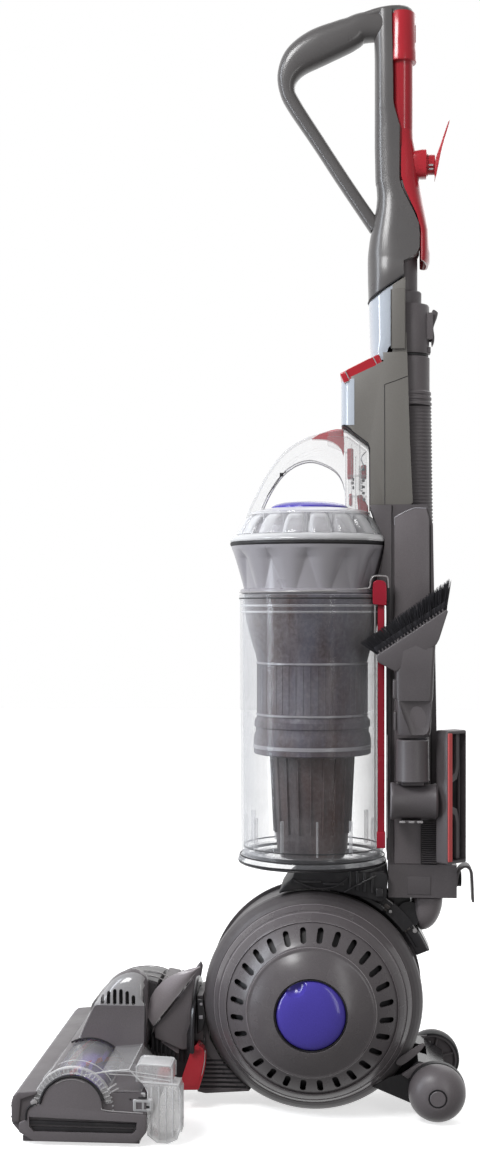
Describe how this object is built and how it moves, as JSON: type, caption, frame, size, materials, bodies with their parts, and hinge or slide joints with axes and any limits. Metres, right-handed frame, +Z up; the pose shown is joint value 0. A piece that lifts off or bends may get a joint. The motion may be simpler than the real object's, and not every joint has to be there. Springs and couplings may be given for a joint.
{
  "type": "upright vacuum cleaner",
  "caption": "Upright vacuum cleaner rolling on a ball, with clear cyclone bin, lift-out wand and hose, clip-on tools, swivelling brush head and a two-wheeled folding stand.",
  "frame": {"origin": "middle of the rest footprint, on the floor", "axes": "+Z up, -Y the way the cleaner head faces, +X the side with the filter cap and the tools"},
  "size_m": [0.32, 0.421, 1.067],
  "materials": {
    "yoke_frame": "satin moulded",
    "motor_bucket": "glossy moulded",
    "motor_body": "machined",
    "post_filter": "pleated",
    "side_cover_left": "satin moulded",
    "side_cover_right": "satin moulded",
    "changeover_duct": "glossy moulded",
    "bin_seat": "glossy moulded",
    "spine_lower": "satin moulded",
    "rear_grille": "satin moulded",
    "duct_upper": "glossy moulded",
    "switch_panel": "glossy moulded",
    "wand_socket": "glossy moulded",
    "hose_cuff_upper": "satin moulded",
    "hose_cuff_lower": "satin moulded",
    "hose": "satin moulded",
    "tool_holder": "satin moulded",
    "cord_hook_lower": "satin moulded",
    "cord_gland": "satin moulded",
    "motor_rotor": "machined",
    "ball_wheel_left": "satin moulded",
    "ball_wheel_right": "satin moulded",
    "filter_cap": "glossy moulded",
    "power_button": "glossy moulded",
    "brush_button": "glossy moulded",
    "cuff_catch": "glossy moulded",
    "wand_tube": "satin moulded",
    "wand_grip": "glossy moulded",
    "handle_shroud": "satin moulded",
    "handle_grip": "satin moulded",
    "wand_cap": "glossy moulded",
    "cord_hook_upper": "glossy moulded",
    "brush_tool": "satin moulded",
    "brush_bristles": "bristle",
    "stair_tool": "satin moulded",
    "stair_strip": "glossy moulded",
    "bin_body": "clear moulded",
    "inner_cone": "satin moulded",
    "cyclone_shroud": "silver moulded",
    "cyclone_cones": "silver moulded",
    "cyclone_crown": "clear moulded",
    "cyclone_ring": "glossy moulded",
    "bin_handle": "clear moulded",
    "bin_base": "clear moulded",
    "bin_rod": "glossy moulded",
    "bin_trigger": "glossy moulded",
    "stand_frame": "satin moulded",
    "stand_wheel_left": "satin moulded",
    "stand_wheel_right": "satin moulded",
    "head_neck": "satin moulded",
    "neck_flap": "silver moulded",
    "head_body": "satin moulded",
    "head_cover": "clear moulded",
    "end_cap_left": "satin moulded",
    "end_cap_right": "satin moulded",
    "motor_hood": "satin moulded",
    "drive_belt": "belt rubber",
    "brushbar": "brush roll",
    "drive_pulley": "machined",
    "head_latch": "glossy moulded"
  },
  "bodies": {
    "yoke": {"yoke_frame": "yoke_frame"},
    "upright": {"motor_bucket": "motor_bucket", "motor_body": "motor_body", "post_filter": "post_filter", "side_cover_left": "side_cover_left", "side_cover_right": "side_cover_right", "changeover_duct": "changeover_duct", "bin_seat": "bin_seat", "spine_lower": "spine_lower", "rear_grille": "rear_grille", "duct_upper": "duct_upper", "switch_panel": "switch_panel", "wand_socket": "wand_socket", "hose_cuff_upper": "hose_cuff_upper", "hose_cuff_lower": "hose_cuff_lower", "hose": "hose", "tool_holder": "tool_holder", "cord_hook_lower": "cord_hook_lower", "cord_gland": "cord_gland"},
    "rotor": {"motor_rotor": "motor_rotor"},
    "shell_left": {"ball_wheel_left": "ball_wheel_left"},
    "shell_right": {"ball_wheel_right": "ball_wheel_right"},
    "twist_cap": {"filter_cap": "filter_cap"},
    "power_switch": {"power_button": "power_button"},
    "brush_switch": {"brush_button": "brush_button"},
    "cuff_latch": {"cuff_catch": "cuff_catch"},
    "wand": {"wand_tube": "wand_tube", "wand_grip": "wand_grip", "handle_shroud": "handle_shroud", "handle_grip": "handle_grip"},
    "cap": {"wand_cap": "wand_cap"},
    "hook": {"cord_hook_upper": "cord_hook_upper"},
    "brush_attachment": {"brush_tool": "brush_tool", "brush_bristles": "brush_bristles"},
    "stair_attachment": {"stair_tool": "stair_tool", "stair_strip": "stair_strip"},
    "bin": {"bin_body": "bin_body", "inner_cone": "inner_cone", "cyclone_shroud": "cyclone_shroud", "cyclone_cones": "cyclone_cones", "cyclone_crown": "cyclone_crown", "cyclone_ring": "cyclone_ring", "bin_handle": "bin_handle"},
    "bin_door": {"bin_base": "bin_base"},
    "rod": {"bin_rod": "bin_rod"},
    "trigger": {"bin_trigger": "bin_trigger"},
    "stand": {"stand_frame": "stand_frame"},
    "stand_roller_left": {"stand_wheel_left": "stand_wheel_left"},
    "stand_roller_right": {"stand_wheel_right": "stand_wheel_right"},
    "neck": {"head_neck": "head_neck", "neck_flap": "neck_flap"},
    "head": {"head_body": "head_body", "head_cover": "head_cover", "end_cap_left": "end_cap_left", "end_cap_right": "end_cap_right", "motor_hood": "motor_hood", "drive_belt": "drive_belt"},
    "brush": {"brushbar": "brushbar"},
    "pulley": {"drive_pulley": "drive_pulley"},
    "latch": {"head_latch": "head_latch"}
  },
  "joints": [
    {"name": "recline", "type": "hinge", "parent": "yoke", "child": "upright", "pos_m": [0, 0.056, 0.105], "axis": [-1, 0, 0], "range_deg": [0, 45]},
    {"name": "stand_fold", "type": "hinge", "parent": "yoke", "child": "stand", "pos_m": [0, 0.056, 0.105], "axis": [1, 0, 0], "range_deg": [0, 10]},
    {"name": "ball_roll_left", "type": "hinge", "parent": "upright", "child": "shell_left", "pos_m": [0, 0.056, 0.105], "axis": [-1, 0, 0], "continuous": true},
    {"name": "ball_roll_right", "type": "hinge", "parent": "upright", "child": "shell_right", "pos_m": [0, 0.056, 0.105], "axis": [-1, 0, 0], "continuous": true},
    {"name": "motor_spin", "type": "hinge", "parent": "upright", "child": "rotor", "pos_m": [0, 0.056, 0.105], "axis": [1, 0, 0], "continuous": true},
    {"name": "filter_twist", "type": "hinge", "parent": "upright", "child": "twist_cap", "pos_m": [0, 0.056, 0.105], "axis": [1, 0, 0], "range_deg": [0, 45]},
    {"name": "power_press", "type": "slide", "parent": "upright", "child": "power_switch", "axis": [0, 0.4488, -0.8936], "range_m": [0, 0.0016], "stiffness_N_per_m": 400, "springref_m": -0.0006},
    {"name": "brush_press", "type": "slide", "parent": "upright", "child": "brush_switch", "axis": [0, 0.4488, -0.8936], "range_m": [0, 0.0016], "stiffness_N_per_m": 400, "springref_m": -0.0006},
    {"name": "cuff_release", "type": "hinge", "parent": "upright", "child": "cuff_latch", "pos_m": [0, 0.1714, 0.752], "axis": [1, 0, 0], "range_deg": [0, 4], "stiffness_Nm_per_rad": 0.05, "springref_deg": -2.86},
    {"name": "wand_lift", "type": "slide", "parent": "upright", "child": "wand", "axis": [0, 0, 1], "range_m": [0, 0.2]},
    {"name": "wand_cap_press", "type": "slide", "parent": "wand", "child": "cap", "axis": [0, 0, -1], "range_m": [0, 0.003], "stiffness_N_per_m": 400, "springref_m": -0.001},
    {"name": "cord_hook_turn", "type": "hinge", "parent": "wand", "child": "hook", "pos_m": [0, 0.17, 0.914], "axis": [0, 1, 0], "range_deg": [0, 180]},
    {"name": "brush_tool_lift", "type": "slide", "parent": "upright", "child": "brush_attachment", "axis": [0, 0, 1], "range_m": [0, 0.06]},
    {"name": "stair_tool_pull", "type": "slide", "parent": "upright", "child": "stair_attachment", "axis": [1, 0, 0], "range_m": [0, 0.06]},
    {"name": "bin_lift_off", "type": "slide", "parent": "upright", "child": "bin", "axis": [0, -0.9, 0.436], "range_m": [0, 0.16]},
    {"name": "bin_door_swing", "type": "hinge", "parent": "bin", "child": "bin_door", "pos_m": [0, -0.0182, 0.237], "axis": [1, 0, 0], "range_deg": [-30, 0]},
    {"name": "rod_push", "type": "slide", "parent": "bin", "child": "rod", "axis": [0, 0, -1], "range_m": [0, 0.006], "stiffness_N_per_m": 300, "springref_m": -0.001},
    {"name": "trigger_press", "type": "slide", "parent": "bin", "child": "trigger", "axis": [0, 0, -1], "range_m": [0, 0.003], "stiffness_N_per_m": 300, "springref_m": -0.001},
    {"name": "stand_roll_left", "type": "hinge", "parent": "stand", "child": "stand_roller_left", "pos_m": [0, 0.173, 0.027], "axis": [-1, 0, 0], "continuous": true},
    {"name": "stand_roll_right", "type": "hinge", "parent": "stand", "child": "stand_roller_right", "pos_m": [0, 0.173, 0.027], "axis": [-1, 0, 0], "continuous": true},
    {"name": "head_swivel", "type": "hinge", "parent": "yoke", "child": "neck", "pos_m": [0, -0.064, 0.072], "axis": [0, 1, 0], "range_deg": [-20, 20]},
    {"name": "head_pitch", "type": "hinge", "parent": "neck", "child": "head", "pos_m": [0, -0.094, 0.045], "axis": [1, 0, 0], "range_deg": [-6, 6]},
    {"name": "brush_spin", "type": "hinge", "parent": "head", "child": "brush", "pos_m": [0, -0.1555, 0.033], "axis": [1, 0, 0], "continuous": true},
    {"name": "pulley_spin", "type": "hinge", "parent": "head", "child": "pulley", "pos_m": [0, -0.13, 0.092], "axis": [1, 0, 0], "continuous": true},
    {"name": "latch_press", "type": "hinge", "parent": "yoke", "child": "latch", "pos_m": [0.042, -0.054, 0.0615], "axis": [1, 0, 0], "range_deg": [0, 8], "stiffness_Nm_per_rad": 0.1, "springref_deg": -2.86}
  ],
  "couplings": [
    {"joint": "stand_fold", "follows": "recline", "ratio": 0.2222},
    {"joint": "pulley_spin", "follows": "brush_spin", "ratio": 2.15},
    {"joint": "bin_door_swing", "follows": "bin_lift_off", "rad_per_m": -3.2725}
  ]
}
